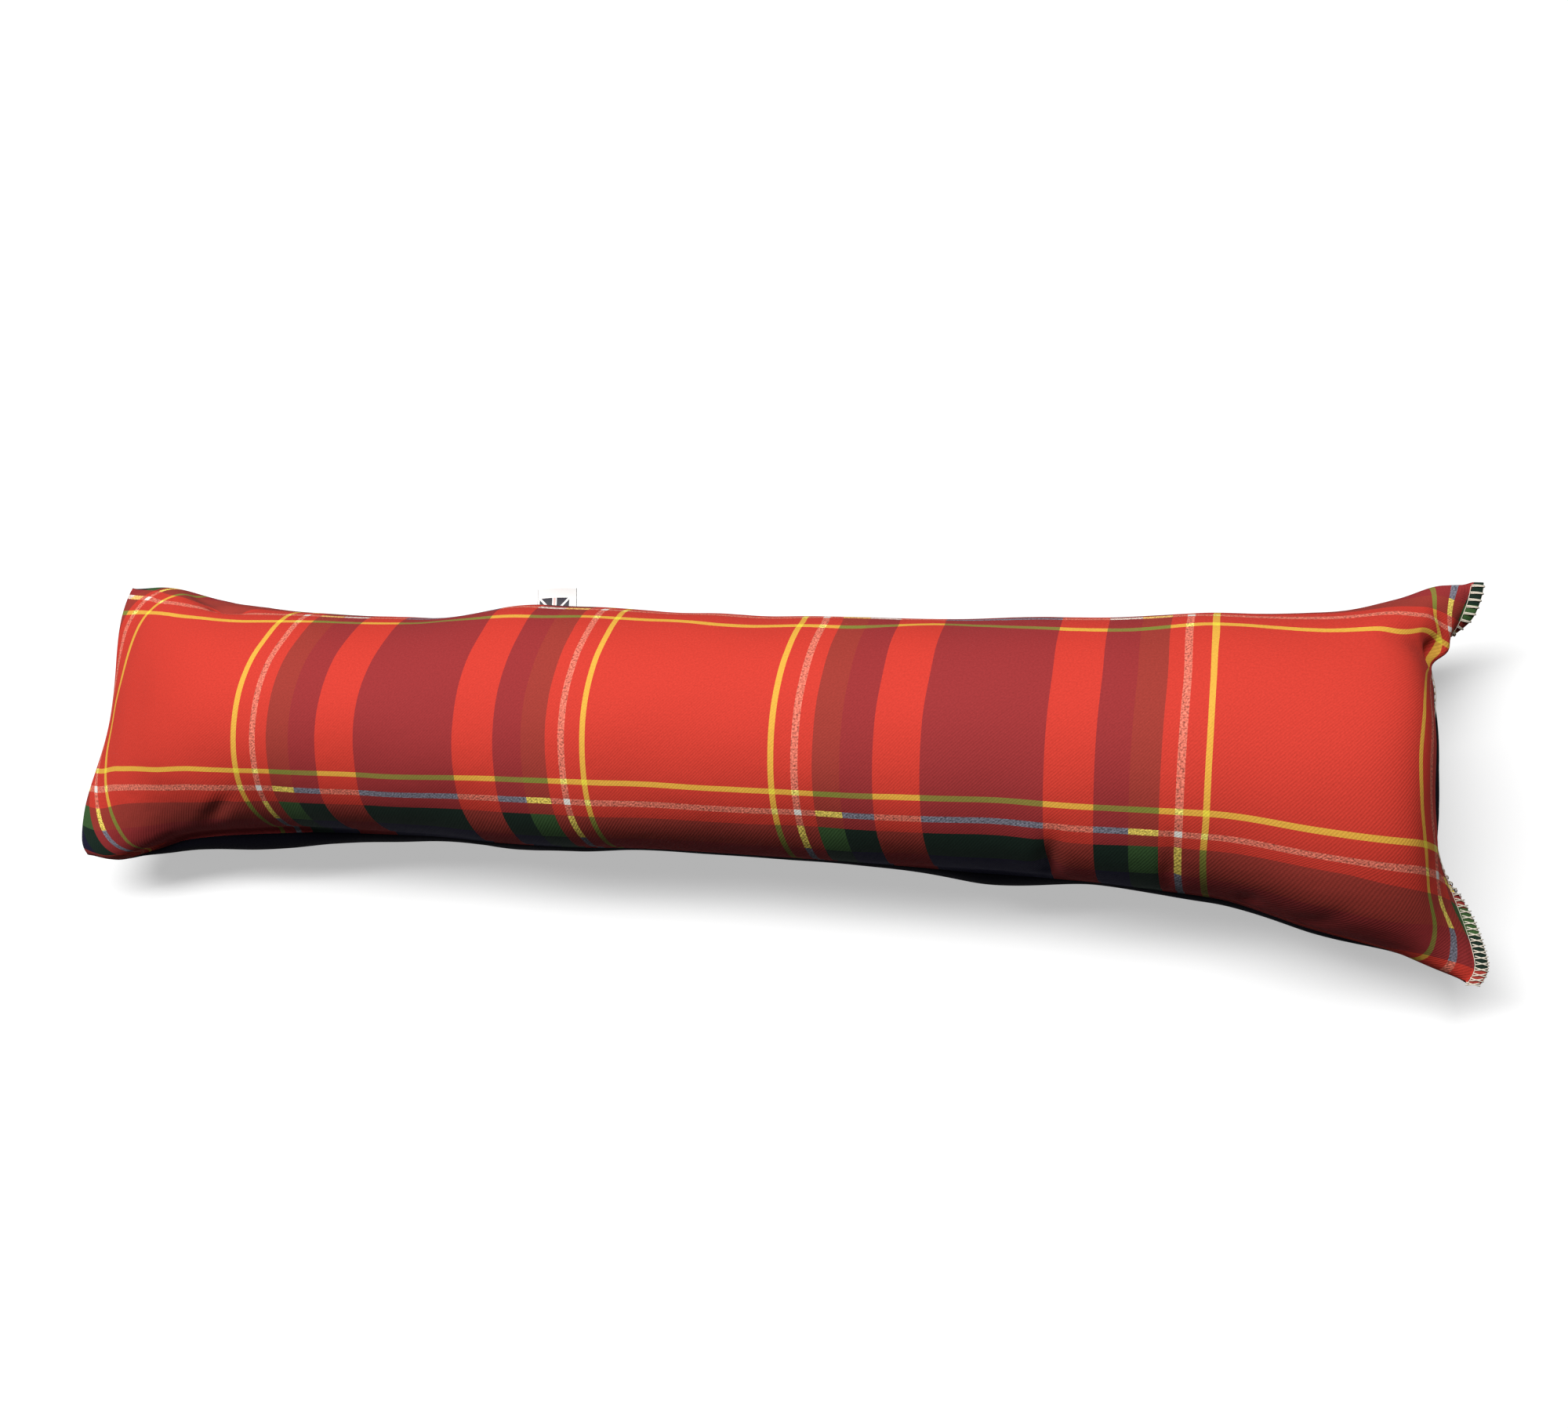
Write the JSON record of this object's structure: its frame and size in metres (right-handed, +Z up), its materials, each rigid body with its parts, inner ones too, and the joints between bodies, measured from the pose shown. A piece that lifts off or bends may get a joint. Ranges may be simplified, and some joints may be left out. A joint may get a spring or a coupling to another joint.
{
  "type": "draught excluder",
  "caption": "Long stuffed cloth tube in red tartan with a plain dark back, pointed ears and an overlocked closing seam, laid along the foot of a door to stop draughts.",
  "frame": {"origin": "middle of the underside of the whole tube, on the surface that it lies on", "axes": "+X along the length towards the overlocked end, +Y across the tube towards the seam with the label, +Z up through the checked front"},
  "size_m": [0.8966, 0.217, 0.1485],
  "materials": {
    "tartan_cloth": "smooth twill woven in a red tartan, with fibre filling under it",
    "dark_cloth": "plain matt blue-black cloth",
    "ribbon": "fine woven ribbon, folded double"
  },
  "bodies": {
    "root": {"filled_tube": "tartan_cloth", "back_panel": "dark_cloth", "label_tab": "ribbon"}
  },
  "joints": []
}
